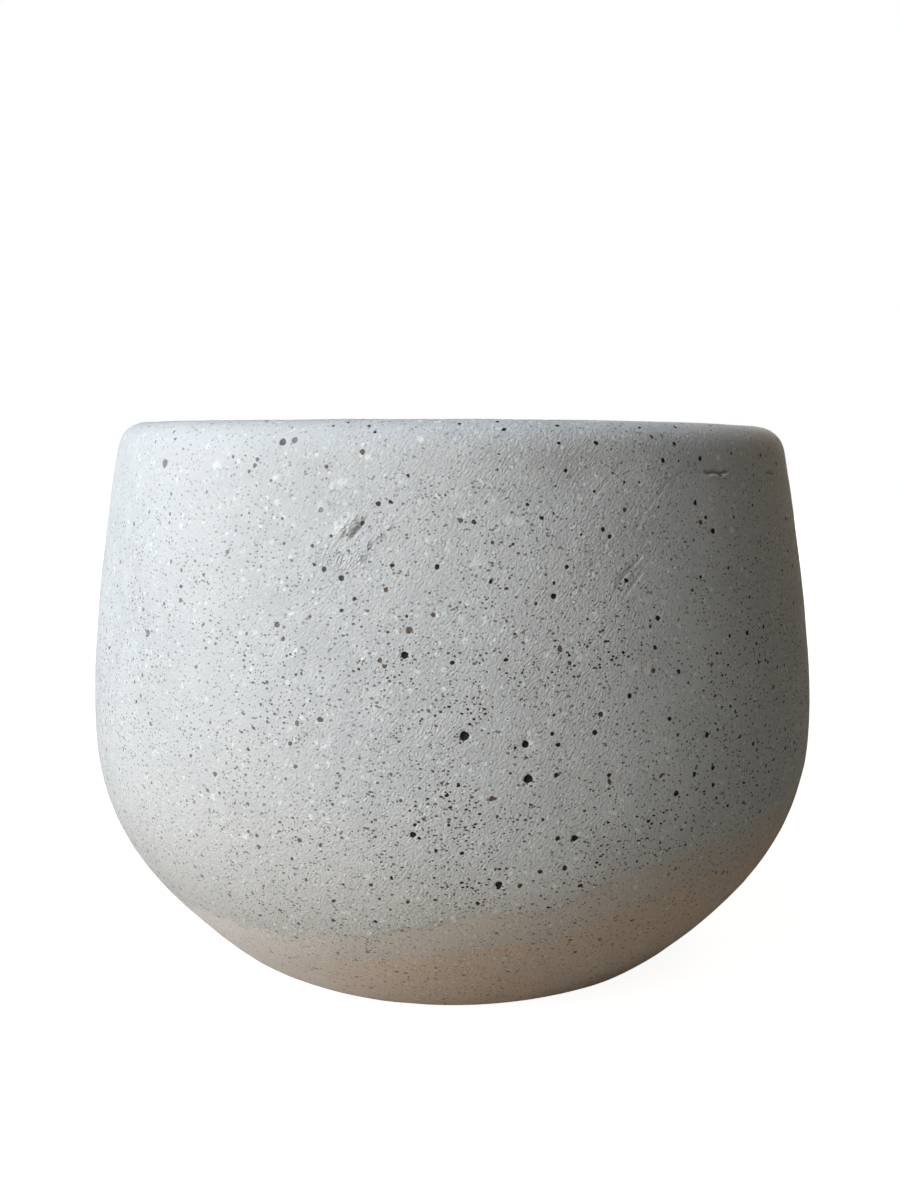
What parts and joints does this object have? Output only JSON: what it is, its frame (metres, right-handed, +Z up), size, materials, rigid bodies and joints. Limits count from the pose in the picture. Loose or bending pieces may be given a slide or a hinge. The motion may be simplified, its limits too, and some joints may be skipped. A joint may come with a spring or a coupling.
{
  "type": "planter",
  "caption": "Squat round stoneware planter, widest below its middle, with a rounded rim, a foot ring on rubber pads, a plugged drain hole and a loose mesh screen over it.",
  "frame": {"origin": "on the pot's axis of turning, in the plane that its foot pads stand on", "axes": "+Z up along the axis of turning, -Y towards the viewer, +X to the viewer's right"},
  "size_m": [0.16, 0.16, 0.111],
  "materials": {
    "stoneware": "matte, speckled",
    "plug_rubber": "matte moulded",
    "screen_plastic": "satin moulded",
    "pad_rubber": "matte"
  },
  "bodies": {
    "pot_body": {"pot": "stoneware", "foot_pad_1": "pad_rubber", "foot_pad_2": "pad_rubber", "foot_pad_3": "pad_rubber", "foot_pad_4": "pad_rubber"},
    "plug_body": {"drain_plug": "plug_rubber"},
    "screen_body": {"drain_screen": "screen_plastic"}
  },
  "joints": [
    {"name": "plug_pull", "type": "slide", "parent": "pot_body", "child": "plug_body", "axis": [0, 0, -1], "range_m": [0, 0.03]},
    {"name": "screen_lift", "type": "slide", "parent": "pot_body", "child": "screen_body", "axis": [0, 0, 1], "range_m": [0, 0.12]}
  ]
}
